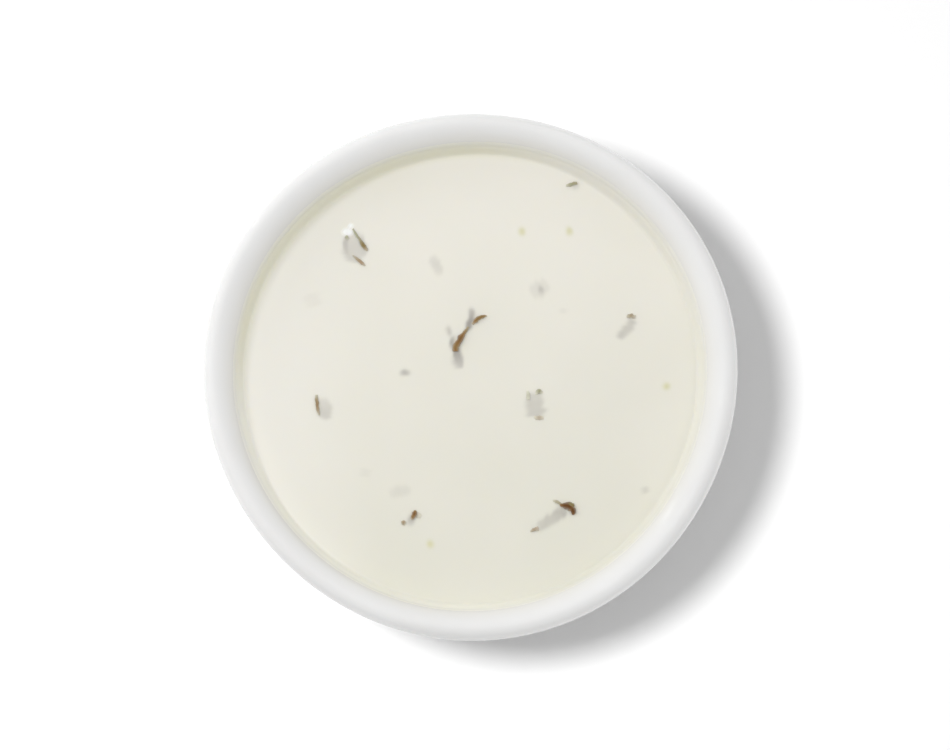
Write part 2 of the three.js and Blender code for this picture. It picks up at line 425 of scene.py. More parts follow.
def add_piece(bm, name, slot, *materials):
    """Turns a finished bmesh into a piece that rides with the bowl."""
    for face in bm.faces:
        face.smooth = True
    mesh = bpy.data.meshes.new(name)
    bm.to_mesh(mesh)
    bm.free()
    piece = bpy.data.objects.new(name, mesh)
    for material in materials:
        mesh.materials.append(material)
    bpy.context.collection.objects.link(piece)
    bowl_and_food.objects.link(piece)
    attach(piece, "root")
    print(name, "faces:", len(mesh.polygons))
    return piece


# %% [markdown]
# ## The glaze
# White porcelain glaze is smooth but never perfect: it has a faint waviness, like orange peel, and its
# white is slightly uneven. The flat of the foot ring is wiped bare before firing so that it doesn't stick
# to the kiln shelf, and there the body shows, matt, sandy and a little yellower. Just above the dressing
# the wall keeps a thin smear of it from when the bowl was carried. Up to the crest a faint warm tint is
# painted into the glaze: painted bounce light, for the light that comes back from the dressing. The mesh
# says where both are, in one value: up to one half it is the painted bounce tint, and from there to 1 it
# is the smear.

# %% Colour of the glaze
# Up to this value the kept value is painted bounce light, a warm tint; above it, the smear.
BOUNCE_TINT_TOP = 0.5
GLAZE_WHITES = (0.812, 0.81, 0.803, 1), (0.832, 0.832, 0.826, 1)
# The colour of the painted bounce light from the dressing.
PAINTED_BOUNCE_COLOUR = (0.79, 0.777, 0.737, 1)
SMEARED = (0.81, 0.79, 0.71, 1)
BARE_BODY = (0.74, 0.69, 0.6, 1)

glaze, shader = new_finish("white_glaze")
mottling = noise_pattern(glaze, 14 * MM)
white = blend_colours(glaze, spread(glaze, mottling, 0.35, 0.65), *GLAZE_WHITES)
smear_and_bounce_share = kept_by_mesh(glaze, "smear_and_painted_bounce")
# Painted bounce light: a faint warm tint up the inner wall; then the smear of dressing.
white = blend_colours(glaze, spread(glaze, smear_and_bounce_share, 0, BOUNCE_TINT_TOP), white, PAINTED_BOUNCE_COLOUR)
white = blend_colours(glaze, spread(glaze, smear_and_bounce_share, BOUNCE_TINT_TOP, 1), white, SMEARED)
ragged = spread(glaze, noise_pattern(glaze, 1.5 * MM), 0, 1, -0.1 * MM, 0.1 * MM)
bare = spread(glaze, total(glaze, place_along(glaze, "Z"), ragged), 0.3 * MM, 0.4 * MM, 1, 0)
feed(glaze, shader.inputs["Base Color"], blend_colours(glaze, bare, white, BARE_BODY))

# %% Sheen and waviness of the glaze
feed(glaze, shader.inputs["Roughness"], spread(glaze, bare, 0, 1, 0.13, 0.8))
shader.inputs["IOR"].default_value = 1.5
shader.inputs["Subsurface Weight"].default_value = 0.1
shader.inputs["Subsurface Radius"].default_value = (1.0, 0.9, 0.8)
shader.inputs["Subsurface Scale"].default_value = 1.2 * MM
peel = noise_pattern(glaze, 5 * MM, detail=1.0)
sand = noise_pattern(glaze, 0.25 * MM)
peel_bump = node(glaze, "ShaderNodeBump", {"Height": peel, "Distance": 0.03 * MM, "Strength": 0.5})
sandy = {"Height": sand, "Strength": bare, "Distance": 0.04 * MM, "Normal": peel_bump.outputs["Normal"]}
feed(glaze, shader.inputs["Normal"], node(glaze, "ShaderNodeBump", sandy).outputs["Normal"])
print("glaze nodes:", len(glaze.node_tree.nodes))

# %% Turn the bowl and mark the smear and the painted bounce tint
SMEAR_HEIGHT = 1.2 * MM
SMEAR_PATCH = 9 * MM
SMEAR_UNEVEN = 0.4
# The smear also reaches further up where the lip is thinner.
SMEAR_WHERE_THIN = 1.5
# A point counts as inside when it is this near to the inner face.
NEAR_THE_FACE = 0.1 * MM

bm = turn_profile(outer_wall() + WALL[1:], steps=256)
smear_and_painted_bounce = bm.verts.layers.float.new("smear_and_painted_bounce")
edge_height = LEVEL + MENISCUS_RISE
for vert in bm.verts:
    radius = math.hypot(vert.co.x, vert.co.y)
    is_inside = vert.co.z > FLOOR_HEIGHT and radius < wall_radius(vert.co.z) + NEAR_THE_FACE
    patch = noise.noise(Vector((vert.co.x, vert.co.y, 0)) / SMEAR_PATCH)
    reach = SMEAR_HEIGHT * (1 + SMEAR_UNEVEN * patch)
    reach += SMEAR_WHERE_THIN * thinner(vert.co.x, vert.co.y, LEVEL)
    thick_smear = 1 - smoothstep(vert.co.z, edge_height, edge_height + reach)
    # Painted bounce light reaches up to the crest and fades there.
    bounce_tint_share = BOUNCE_TINT_TOP * (1 - smoothstep(vert.co.z, HEIGHT - LIP_INNER_DEPTH, HEIGHT))
    vert[smear_and_painted_bounce] = is_inside * max(thick_smear, bounce_tint_share)
    shift = is_inside * thinner(*vert.co) / max(radius, FOOT_RADIUS)
    scale = drift(*vert.co) * (1 + shift)
    vert.co.x *= scale
    vert.co.y *= scale
print("smeared points:", sum(vert[smear_and_painted_bounce] > BOUNCE_TINT_TOP for vert in bm.verts))

# %% [markdown]
# A spun profile keeps its corners, and a potter wipes the foot's corners soft with a sponge, so the edges of
# the foot ring are bevelled.

# %% Round the foot and finish the bowl
SAME = 0.01 * MM


def is_foot_ring_edge(edge):
    corner_heights = (0, FOOT_HEIGHT)
    heights = [vert.co.z for vert in edge.verts]
    radii = [math.hypot(vert.co.x, vert.co.y) for vert in edge.verts]
    level = any(all(abs(z - h) < SAME for z in heights) for h in corner_heights)
    return level and abs(radii[0] - radii[1]) < SAME and min(radii) > FOOT_RADIUS - 2 * FOOT_WIDTH


foot_edges = [edge for edge in bm.edges if is_foot_ring_edge(edge)]
rounding = {"segments": 3, "profile": 0.5, "affect": "EDGES", "material": -1}
bmesh.ops.bevel(bm, geom=foot_edges, offset=FOOT_ROUND * 0.6, **rounding)
bowl = add_piece(bm, "glazed_bowl", "glaze", glaze)
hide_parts("bowl")

# %% [markdown]
# ## The surface of the dressing
# Thick dressing settles almost level, but not quite: low swells stay where it was poured, and fade out
# towards its edge. The shape of the surface is one function of the place, so that the cream and everything
# that floats in it agree on where the surface is.

# %% Height of the surface
# Each swell is its middle, its radius and its height in millimetres.
SWELLS = [
    (-12.5, 26, 7, 0.22),
    (-3, 14, 9, 0.25),
    (14, 3, 8, 0.28),
    (20, 20, 7, -0.2),
    (-16, -8, 10, 0.16),
    (4, -24, 9, -0.24),
    (26, -8, 6, -0.12),
]
EDGE_RADIUS = wall_radius(LEVEL + MENISCUS_RISE)
OPEN_RADIUS = EDGE_RADIUS - MENISCUS_WIDTH
print(f"the dressing meets the wall at a radius of {EDGE_RADIUS / MM:.2f} mm")


def surface_height(x, y):
    radius = math.hypot(x, y) / drift(x, y, LEVEL)
    fade = 1 - smoothstep(radius, OPEN_RADIUS - CALM_WIDTH, OPEN_RADIUS)
    swell = 0
    for middle_x, middle_y, reach, rise in SWELLS:
        distance = math.hypot(x / MM - middle_x, y / MM - middle_y) / reach
        swell += rise * MM * math.exp(-distance * distance)
    return LEVEL + fade * swell


# %% [markdown]
# ## Dried herbs
# Dried parsley is brittle and torn: small curled leaves, and slivers of stalk. In the dressing they soak,
# sink and hang just below the surface, and only their raised edges break it. Each bit is made as a strip
# along a path: a grid is bent along the path, widened and narrowed, raised or sunk, folded, torn a little
# at its edges, and given its thickness by solidify. What barely stands out keeps a film of dressing, so
# the mesh also carries how much of each point is covered.

# %% Strip along a path
STRIP_STEPS = 18
# These are in millimetres, as the paths are.
LEAF_THICKNESS = 0.1
BARE_LIFT = 0.22
THINNEST = 0.05
CRUMPLE = 0.06


def along_path(path, share):
    """A smooth path through the given rows of numbers, at a share of the way from 0 to 1."""
    place = share * (len(path) - 1)
    start = min(int(place), len(path) - 2)
    t = place - start
    rows = [Vector(path[min(max(start + k, 0), len(path) - 1)]) for k in (-1, 0, 1, 2)]
    before, here, there, after = rows
    return 0.5 * (
        2 * here
        + (there - before) * t
        + (2 * before - 5 * here + 4 * there - after) * t * t
        + (3 * here - before - 3 * there + after) * t * t * t
    )


def add_strip(bm, path, fold, torn, highest, seed):
    """Adds one bit of herb. Each row of its path is x, y, width and lift above the surface in
    millimetres, and how dry and brown it is there."""
    dryness = bm.verts.layers.float["dryness"]
    film = bm.verts.layers.float["film"]
    grid = bmesh.ops.create_grid(bm, x_segments=STRIP_STEPS, y_segments=4, size=1)
    verts = grid["verts"]
    for vert in verts:
        share = (vert.co.x + 1) / 2
        across = vert.co.y
        x, y, width, lift, dry = along_path(path, share)
        ahead = along_path(path, min(share + 0.02, 1)) - along_path(path, max(share - 0.02, 0))
        side = Vector((-ahead[1], ahead[0])).normalized()
        tear = 1 + torn * noise.noise((share * 6 + seed, across * 2, seed))
        half = max(width, THINNEST) / 2 * tear * across
        place = (Vector((x, y)) + side * half) * MM
        crumple = CRUMPLE * noise.noise((x * 1.3, y * 1.3, seed + across))
        rise = min(lift + fold * abs(across) + crumple, highest)
        vert.co = (place.x, place.y, surface_height(place.x, place.y) + rise * MM)
        vert[dryness] = dry + 0.25 * noise.noise((share * 5, across * 2, seed + 9))
        bare = min(max(lift / BARE_LIFT, 0), 1) * (1 - 0.3 * across * across)
        vert[film] = 1 - bare
    faces = list({face for vert in verts for face in vert.link_faces})
    bmesh.ops.solidify(bm, geom=faces, thickness=-LEAF_THICKNESS * MM)


# %% [markdown]
# ## Where the herbs lie
# The leaves that stay under the surface come first. They are wide, lie no more than about a millimetre
# down, and only shade the cream above them. The strip below the dash stands for the dash's shadow: a
# painted shadow.

# %% Sunk leaves
SUNK_LEAVES = {
    "folded leaf": [
        (-18.3, 21.9, 1.3, -0.7, 0.3),
        (-17.7, 20.8, 2.7, -0.58, 0.3),
        (-17.3, 19.6, 3.3, -0.53, 0.3),
        (-17.4, 18.4, 2.7, -0.56, 0.4),
        (-17.1, 17.5, 1.2, -0.7, 0.6),
    ],
    "left edge of the folded leaf": [
        (-18.8, 21.4, 0.5, -0.36, 0.1),
        (-19.1, 20.2, 0.7, -0.38, 0.1),
        (-18.9, 18.8, 0.7, -0.42, 0.1),
        (-18.3, 17.7, 0.5, -0.52, 0.1),
    ],
    "bent stalk, far end": [
        (0.1, 10.2, 0.7, -0.35, 0.4),
        (0, 8.9, 0.9, -0.22, 0.4),
        (-0.3, 7.9, 1, -0.16, 0.4),
        (-0.6, 7, 0.6, -0.25, 0.4),
    ],
    "bent stalk, near end": [
        (-2.4, 4.7, 1, -0.24, 0.5),
        (-2.1, 3.5, 1.2, -0.22, 0.4),
        (-1.9, 2.4, 1.4, -0.32, 0.3),
        (-1.7, 1.2, 1.1, -0.46, 0.3),
    ],
    "bent stalk, left side": [
        (-2.5, 6, 0.4, -0.38, 0.4),
        (-2.9, 5.2, 0.7, -0.24, 0.4),
        (-2.8, 4.4, 0.5, -0.34, 0.4),
    ],
    "crumb by the stalk": [
        (-3.7, 7.4, 0.5, -0.5, 0.3),
        (-3.3, 6.8, 0.6, -0.3, 0.3),
        (-3.1, 6.2, 0.4, -0.5, 0.3),
    ],
    "pale leaf": [
        (9.6, -2.7, 1.6, -0.6, 0.2),
        (9.6, -3.8, 2.5, -0.52, 0.2),
        (9.7, -5, 2.6, -0.52, 0.2),
        (9.7, -6.2, 2.1, -0.44, 0.4),
    ],
    "long leaf": [
        (14, -20.4, 1.5, -0.3, 0.6),
        (12.7, -21.3, 1.6, -0.42, 0.5),
        (11.5, -22.1, 1.6, -0.48, 0.4),
        (10.1, -22.9, 1.2, -0.5, 0.5),
    ],
    "small leaf": [
        (-8.7, -21.4, 0.7, -0.34, 0.6),
        (-9, -22, 0.9, -0.38, 0.4),
        (-9.3, -22.6, 0.8, -0.5, 0.4),
    ],
    "leaf by the sliver": [
        (-22.3, -3.4, 0.9, -0.75, 0.4),
        (-21.9, -4.6, 1.8, -0.56, 0.4),
        (-21.9, -5.7, 1.8, -0.5, 0.4),
        (-22.3, -6.5, 1, -0.55, 0.4),
    ],
    "brown-topped leaf": [
        (24.5, 8.6, 1, -0.38, 0.5),
        (24, 7.7, 1.4, -0.45, 0.4),
        (23.2, 6.8, 1.3, -0.47, 0.4),
        (22.3, 5.8, 0.9, -0.42, 0.4),
    ],
    # Painted shadow: a sunk strip whose grey under the cream stands for the dash's shadow.
    "painted shadow of the dash": [(15.4, 29.2, 0.7, -0.55, 0.3), (16.5, 29.3, 0.8, -0.6, 0.3)],
    "grey speck": [(-10.6, 0.5, 0.6, -0.4, 0.2), (-9.9, 0.5, 0.9, -0.3, 0.2), (-9.3, 0.4, 0.6, -0.4, 0.2)],
    "faint patch, far middle": [
        (9.1, 12.5, 1.6, -0.85, 0.2),
        (10.3, 13.3, 2.4, -0.75, 0.2),
        (11.5, 14.2, 1.7, -0.85, 0.2),
    ],
    "spot in the patch": [
        (10.1, 13.2, 0.5, -0.42, 0.2),
        (10.5, 13.3, 0.9, -0.3, 0.2),
        (10.9, 13.5, 0.5, -0.42, 0.2),
    ],
    "patch by the stalk": [
        (-6, 18.4, 0.9, -0.8, 0.2),
        (-5.3, 17, 1.4, -0.62, 0.2),
        (-4.5, 15.5, 0.9, -0.77, 0.2),
    ],
    "near patch, left": [(-16.5, -14.5, 1.2, -0.95, 0.2), (-15.1, -14.9, 1.2, -1, 0.2)],
    "near patch": [
        (-12.2, -17.9, 1, -0.88, 0.2),
        (-10.6, -17.5, 1.5, -0.78, 0.2),
        (-9, -17.2, 0.9, -0.88, 0.2),
    ],
    "patch by the near wall": [(25.7, -17.4, 1.1, -0.5, 0.2), (26.4, -17.2, 0.9, -0.55, 0.2)],
    "patch by the far wall": [(-25, 11.2, 2, -1.1, 0.2), (-22.9, 12, 2, -1.05, 0.2)],
    "right patch": [(13.4, 9.9, 0.8, -0.9, 0.2), (14.4, 9.9, 0.8, -0.95, 0.2)],
}

# %% [markdown]
# The edges and slivers that break the surface are thin and narrow, and they carry the colour: green where
# the leaf is whole, brown where it has dried out. The lift says how bare each stands.

# %% Raised edges and slivers
RAISED_EDGES = {
    "folded leaf, green edge": [
        (-17.9, 22.6, 0.25, 0.12, 0),
        (-17.5, 21.9, 0.32, 0.16, 0),
        (-17, 21.1, 0.36, 0.16, 0.15),
    ],
    "folded leaf, brown edge": [
        (-16.9, 21.1, 0.3, 0.15, 0.3),
        (-16.6, 20.5, 0.55, 0.2, 0.5),
        (-16.2, 19.9, 0.65, 0.22, 0.6),
        (-15.7, 19.2, 0.35, 0.12, 0.8),
    ],
    "folded leaf, lower edge": [
        (-17.9, 18.5, 0.2, 0.08, 0.7),
        (-17.3, 18, 0.42, 0.16, 0.8),
        (-16.6, 17.4, 0.48, 0.18, 1),
        (-16, 16.9, 0.25, 0.1, 1),
    ],
    "folded leaf, green spot": [
        (-19, 21.5, 0.3, 0.08, 0),
        (-18.8, 21.3, 0.5, 0.15, 0),
        (-18.6, 21, 0.35, 0.07, 0),
    ],
    "bent stalk, tip": [
        (2.4, 9.15, 0.15, 0.16, 0.8),
        (1.8, 9.05, 0.5, 0.24, 0.8),
        (1.2, 8.8, 0.65, 0.26, 0.8),
        (0.7, 8.4, 0.6, 0.24, 0.9),
        (0.2, 7.9, 0.4, 0.14, 0.8),
    ],
    "bent stalk, thin part": [
        (-0.4, 7.5, 0.35, 0.16, 0.6),
        (-0.7, 7, 0.45, 0.2, 0.7),
        (-1.1, 6.4, 0.55, 0.22, 0.9),
    ],
    "bent stalk, thick part": [
        (-1, 6.6, 0.5, 0.22, 0.9),
        (-1.5, 5.8, 0.9, 0.34, 1.12),
        (-1.9, 5.1, 0.85, 0.34, 1.05),
        (-2.3, 4.4, 1, 0.3, 0.9),
        (-2.3, 3.7, 0.8, 0.2, 1.05),
    ],
    "pale leaf, green corner": [
        (9.8, -2.9, 0.3, 0.04, 0.1),
        (10, -2.5, 0.6, 0.13, 0.1),
        (10.3, -2.4, 0.75, 0.17, 0.1),
        (10.6, -2.7, 0.4, 0.04, 0.1),
    ],
    "pale leaf, left corner": [
        (8.5, -2.3, 0.3, 0.04, 0),
        (8.6, -2.9, 0.55, 0.09, 0),
        (8.6, -3.6, 0.5, 0.05, 0),
    ],
    "pale leaf, brown corner": [
        (9.5, -6.3, 0.4, 0.04, 0.8),
        (10.2, -6.4, 0.65, 0.13, 0.9),
        (10.9, -6.4, 0.45, 0.05, 0.9),
    ],
    "long leaf, dark head": [
        (13.3, -19.6, 0.35, 0.2, 1),
        (13.9, -19.7, 0.8, 0.34, 1.3),
        (14.5, -19.8, 1.2, 0.42, 1.4),
        (15, -20.1, 1, 0.4, 1.2),
        (15.3, -20.7, 0.8, 0.32, 1.3),
        (15.2, -21.1, 0.3, 0.2, 1.2),
    ],
    "long leaf, olive corner": [
        (14.4, -19.5, 0.3, 0.36, 0.3),
        (14.9, -19.5, 0.6, 0.44, 0.4),
        (15.4, -19.9, 0.5, 0.38, 0.6),
    ],
    "long leaf, thin tip": [
        (12.3, -18.9, 0.2, 0.08, 0.4),
        (12.8, -19.1, 0.45, 0.15, 0.4),
        (13.5, -19.5, 0.4, 0.16, 0.6),
    ],
    "long leaf, end": [
        (8.9, -23.6, 0.2, 0.1, 0.8),
        (9.4, -23.3, 0.5, 0.16, 1),
        (10.1, -23.1, 0.6, 0.1, 1),
    ],
    "small leaf, brown edge": [
        (-8.3, -20.4, 0.3, 0.16, 0.6),
        (-8.4, -20.8, 0.7, 0.32, 1.1),
        (-8.6, -21.3, 0.65, 0.28, 1),
        (-8.9, -21.8, 0.4, 0.12, 0.8),
    ],
    "small leaf, tan part": [
        (-8.3, -20.9, 0.6, 0.08, 0.8),
        (-7.9, -21.1, 0.8, 0.07, 0.8),
        (-7.5, -21.4, 0.5, 0.03, 0.8),
    ],
    "crumb by the small leaf": [
        (-10.4, -22.4, 0.4, 0.1, 0.7),
        (-10.1, -22.3, 0.75, 0.18, 0.9),
        (-9.8, -22.5, 0.5, 0.08, 0.8),
    ],
    "sliver": [
        (-23.2, -2.9, 0.35, 0.1, 0.3),
        (-23.2, -3.6, 0.5, 0.18, 0.6),
        (-23.1, -4.4, 0.5, 0.2, 0.9),
        (-23, -5.2, 0.45, 0.17, 0.9),
        (-22.8, -6, 0.25, 0.1, 0.7),
    ],
    "brown top": [
        (23.5, 9, 0.4, 0.08, 0.6),
        (24.1, 9.2, 0.65, 0.17, 0.7),
        (24.8, 9, 0.5, 0.08, 0.9),
    ],
    "dash": [
        (14.4, 29.3, 0.3, 0.06, 0.3),
        (14.9, 29.4, 0.5, 0.15, 0.2),
        (15.5, 29.6, 0.52, 0.18, 0.2),
        (16.1, 29.7, 0.4, 0.16, 0.4),
    ],
}

# %% Make the herbs
SUNK_HIGHEST = -0.12

herb_mesh = bmesh.new()
herb_mesh.verts.layers.float.new("dryness")
herb_mesh.verts.layers.float.new("film")
for number, path in enumerate(SUNK_LEAVES.values()):
    add_strip(herb_mesh, path, fold=0.06, torn=0.5, highest=SUNK_HIGHEST, seed=number)
sunk_tree = BVHTree.FromBMesh(herb_mesh)
for number, path in enumerate(RAISED_EDGES.values()):
    add_strip(herb_mesh, path, fold=-0.05, torn=0.5, highest=1, seed=50 + number)
print("herb faces:", len(herb_mesh.faces))

# %% [markdown]
# ## Pale grains
# Four grains of dried onion and garlic show as small yellow spots. Each is a lumpy little ball that the
# cream covers almost or quite, so that its colour comes through.

# %% Make the grains
# Each grain is its middle in millimetres.
GRAINS = [(7.7, 22.2), (14.9, 22.3), (29.4, -1.6), (-6.1, -25.5)]
GRAIN_RADIUS = 0.62 * MM
COVERED = 0.94
LUMP_SIZE = 0.5 * MM

grain_mesh = bmesh.new()
for x, y in GRAINS:
    ball = bmesh.ops.create_icosphere(grain_mesh, subdivisions=3, radius=GRAIN_RADIUS)
    middle = Vector((x * MM, y * MM, surface_height(x * MM, y * MM) - COVERED * GRAIN_RADIUS))
    for vert in ball["verts"]:
        lumpy = 1 + 0.2 * noise.noise(vert.co / LUMP_SIZE + Vector((x, y, 0)))
        vert.co = middle + vert.co * lumpy
grain_tree = BVHTree.FromBMesh(grain_mesh)
print("grains:", len(GRAINS))

# %% [markdown]
# ## The cream itself
# A disc with evenly sized faces takes fine relief everywhere, so the surface starts as a square grid whose
# square rings are pressed into circles. Its edge is then bent up the wall, drawn down again just inside the
# glaze, and closed on the inner floor, so the dressing is a closed body that reaches just into the wall.

# %% Press a square grid into a disc
GRID_STEPS = 240


def square_to_disc(u, v):
    if abs(u) < 1e-9 and abs(v) < 1e-9:
        return 0, 0
    if abs(u) > abs(v):
        radius, angle = u, math.pi / 4 * v / u
    else:
        radius, angle = v, math.pi / 2 - math.pi / 4 * u / v
    return radius * math.cos(angle), radius * math.sin(angle)


cream_mesh = bmesh.new()
bmesh.ops.create_grid(cream_mesh, x_segments=GRID_STEPS, y_segments=GRID_STEPS, size=1)
for vert in cream_mesh.verts:
    x, y = square_to_disc(vert.co.x, vert.co.y)
    scale = (OPEN_RADIUS + thinner(x, y, LEVEL)) * drift(x, y, LEVEL)
    vert.co = (x * scale, y * scale, 0)
    vert.co.z = surface_height(vert.co.x, vert.co.y)
print("surface points:", len(cream_mesh.verts))

# %% [markdown]
# The edge is extruded from the rim of that disc, ring by ring. It bends up in a fillet that covers the steep
# top of the wall, runs up past the shoulder as a film that gets thinner, and sinks into the glaze a little
# above it. Because it meets the glaze at such a flat angle, it leaves no dark crack beside it.

# %% Bend the edge up the wall
FILM = 0.08 * MM
FILM_TOP = HEIGHT - 1.2 * MM
# How far inside the glaze the film ends, as a share of its thickness.
FILM_SINKS = 0.6
# How far the handles of the fillet reach, as shares of its width and of its rise.
FILLET_START = 0.45
FILLET_END = 0.5
FILLET_STEPS = 16
FILM_STEPS = 8


def edge_path():
    """The edge's profile, from the open surface to where the film ends in the wall."""
    start = at(OPEN_RADIUS, LEVEL)
    touch_height = LEVEL + MENISCUS_RISE
    touch = at(wall_radius(touch_height) - FILM, touch_height)
    up_the_slope = at(math.cos(SHOULDER_SLOPE), math.sin(SHOULDER_SLOPE))
    level_handle = start + at(MENISCUS_WIDTH * FILLET_START, 0)
    steep_handle = touch - up_the_slope * (touch_height - LEVEL) * FILLET_END
    points = curve(start, level_handle, steep_handle, touch, FILLET_STEPS)
    for step in range(1, FILM_STEPS + 1):
        share = step / FILM_STEPS
        z = touch_height + (FILM_TOP - touch_height) * share
        points.append(at(wall_radius(z) - FILM * (1 - (1 + FILM_SINKS) * share), z))
    return points


def extrude_ring(bm, ring, place):
    """Extrudes the open rim of the body to a new place on its profile, and returns the new rim."""
    grown = bmesh.ops.extrude_edge_only(bm, edges=ring)["geom"]
    new_ring = [item for item in grown if isinstance(item, bmesh.types.BMEdge) and item.is_boundary]
    for vert in {vert for edge in new_ring for vert in edge.verts}:
        turn = math.atan2(vert.co.y, vert.co.x)
        radius = place.x + thinner(vert.co.x, vert.co.y, place.z)
        radius *= drift(vert.co.x, vert.co.y, place.z)
        vert.co = (radius * math.cos(turn), radius * math.sin(turn), place.z)
    return new_ring


ring = [edge for edge in cream_mesh.edges if edge.is_boundary]
for place in edge_path():
    ring = extrude_ring(cream_mesh, ring, place)
print("points with the edge:", len(cream_mesh.verts))

# %% [markdown]
# ## What shows through the cream
# Cream isn't clear, but light gets a fraction of a millimetre into it, so a leaf just below the surface
# shows as a soft grey shadow, and one that lies a millimetre down hardly shows. That could be left to true
# scattering, which is slow and noisy. Here it is measured instead: a ray goes straight down through each
# point of the surface, and the closer below it finds a leaf, the more of it shows. The result is spread a
# little over the neighbours, as the light is in the cream, and kept with the mesh for the finish to read.

# %% Measure the cover over herbs and grains
SEEN_DEPTH = 0.35 * MM
RAY_START = 1 * MM
RAY_END = 1.5 * MM
veil = cream_mesh.verts.layers.float.new("veil")
yellow = cream_mesh.verts.layers.float.new("yellow")


def shows_through(tree, point):
    hit = tree.ray_cast(point + Vector((0, 0, RAY_START)), Vector((0, 0, -1)), RAY_START + RAY_END)
    if hit[0] is None:
        return 0
    return math.exp(-max(point.z - hit[0].z, 0) / SEEN_DEPTH)


for vert in cream_mesh.verts:
    vert[veil] = shows_through(sunk_tree, vert.co)
    vert[yellow] = shows_through(grain_tree, vert.co)
print("points over a leaf:", sum(vert[veil] > 0 for vert in cream_mesh.verts))

# %% [markdown]
# Three more things are kept for the finish, all of them near the wall. In the shade of the rim a yellower
# tone is painted: painted shade, for light that has come through the cream and returns yellower. Where the
# cream climbs the wall it thins out, so that the glaze shows through. And at the near left its climbing
# edge faces away from the main lamp, but in the photo it is hardly darker than the rest, so the mesh keeps
# where its tone is raised to match: painted light over that shade.

# %% Mark the painted yellow shade, the thin edge and the painted pale edge
SHADE_START = 2 * MM
SHADE_FULL = 0.5 * MM
# Each fades in as a place turns towards the azimuth, between two values of the angle's cosine.
SHADE_AZIMUTH = math.radians(130)
SHADE_BLEND = (0.35, 0.85)
PALE_AZIMUTH = math.radians(235)
PALE_BLEND = (0.45, 0.9)
THIN_START = LEVEL + MENISCUS_RISE * 0.7
shade = cream_mesh.verts.layers.float.new("shade")
thin = cream_mesh.verts.layers.float.new("thin")
painted_pale_edge = cream_mesh.verts.layers.float.new("painted_pale_edge")


def towards(vert, azimuth):
    """1 in the direction of the azimuth, 0 square to it and -1 on the other side."""
    return math.cos(math.atan2(vert.co.y, vert.co.x) - azimuth)


for vert in cream_mesh.verts:
    radius = math.hypot(vert.co.x, vert.co.y) / drift(*vert.co) - thinner(*vert.co)
    near_wall = smoothstep(radius, EDGE_RADIUS - SHADE_START, EDGE_RADIUS - SHADE_FULL)
    on_the_edge = smoothstep(radius, OPEN_RADIUS, OPEN_RADIUS + MENISCUS_WIDTH / 2)
    # Painted shade: a yellower tone where the rim shades the cream.
    vert[shade] = near_wall * smoothstep(towards(vert, SHADE_AZIMUTH), *SHADE_BLEND)
    vert[thin] = smoothstep(vert.co.z, THIN_START, FILM_TOP)
    # Painted light: the near-left edge's tone is raised where it faces away from the main lamp.
    vert[painted_pale_edge] = on_the_edge * (1 - vert[thin]) * smoothstep(towards(vert, PALE_AZIMUTH), *PALE_BLEND)
print("shaded points:", sum(vert[shade] > 0 for vert in cream_mesh.verts))


# %% Spread the veil a little
def spread_to_neighbours(bm, layer, rounds):
    for _ in range(rounds):
        values = [vert[layer] for vert in bm.verts]
        for vert in bm.verts:
            around = [values[edge.other_vert(vert).index] for edge in vert.link_edges]
            vert[layer] = 0.5 * values[vert.index] + 0.5 * sum(around) / len(around)


cream_mesh.verts.index_update()
spread_to_neighbours(cream_mesh, veil, rounds=3)
spread_to_neighbours(cream_mesh, yellow, rounds=3)

# The cream also stands a hair higher over what lies just under it.
COVER_RISE = 0.08 * MM
for vert in cream_mesh.verts:
    vert.co.z += COVER_RISE * (vert[veil] + vert[yellow])
print(f"strongest veil over a leaf: {max(vert[veil] for vert in cream_mesh.verts):.2f}")

# %% [markdown]
# Over the tip of the folded leaf the cream stands up in two small beads, wet and glossy. Their tone is
# painted white, a painted highlight.

# %% Raise the beads
# Each bead is its middle, its half width, its half depth and its height in millimetres.
BEADS = [(-18.7, 22.1, 0.8, 0.52, 0.3), (-18.2, 23.1, 0.4, 0.3, 0.1)]
bead = cream_mesh.verts.layers.float.new("bead")
for middle_x, middle_y, half_width, half_depth, height in BEADS:
    for vert in cream_mesh.verts:
        x = (vert.co.x / MM - middle_x) / half_width
        y = (vert.co.y / MM - middle_y) / half_depth
        rise = math.exp(-(x * x + y * y))
        vert.co.z += height * rise * MM
        vert[bead] = max(vert[bead], rise)
print("beads:", len(BEADS))

# %% Close the body of the dressing
INTO_WALL = 0.25 * MM
BELOW_FILM_TOP = 0.5 * MM
# Nothing of this face shows, so a few of the wall's points are enough for it.
EVERY = 4
ring = [edge for edge in cream_mesh.edges if edge.is_boundary]
down_the_wall = [point for point in WALL if point.z < FILM_TOP - BELOW_FILM_TOP]
for point in down_the_wall[::EVERY]:
    ring = extrude_ring(cream_mesh, ring, point + at(INTO_WALL, 0))
bmesh.ops.contextual_create(cream_mesh, geom=ring)
bmesh.ops.recalc_face_normals(cream_mesh, faces=cream_mesh.faces)
print("open edges left:", sum(edge.is_boundary for edge in cream_mesh.edges))

# %% [markdown]
# ## The cream's finish
# Ranch dressing is off-white and slightly yellow, with a soft satin shine. A painted light falloff drifts
# its tone slowly over its surface, paler at the far side than at the near one, and paler still along the
# left. In the rim's shade a painted shade makes it yellower, over a sunk leaf it goes towards a neutral
# grey, over a grain towards yellow, and a bead is painted white as a highlight and is wet. A little
# subsurface scattering softens the shading as fat and buttermilk do.

# %% Painted light falloff in the tone
# Painted light: darker at the near side, paler at the far side, and paler along the left.
NEAR_TONE = (0.772, 0.76, 0.668, 1)
FAR_TONE = (0.85, 0.828, 0.752, 1)
LEFT_TONE = (0.868, 0.85, 0.785, 1)
# The painted light falloff runs across the dressing, this far to each side of its middle.
REACH = 32 * MM
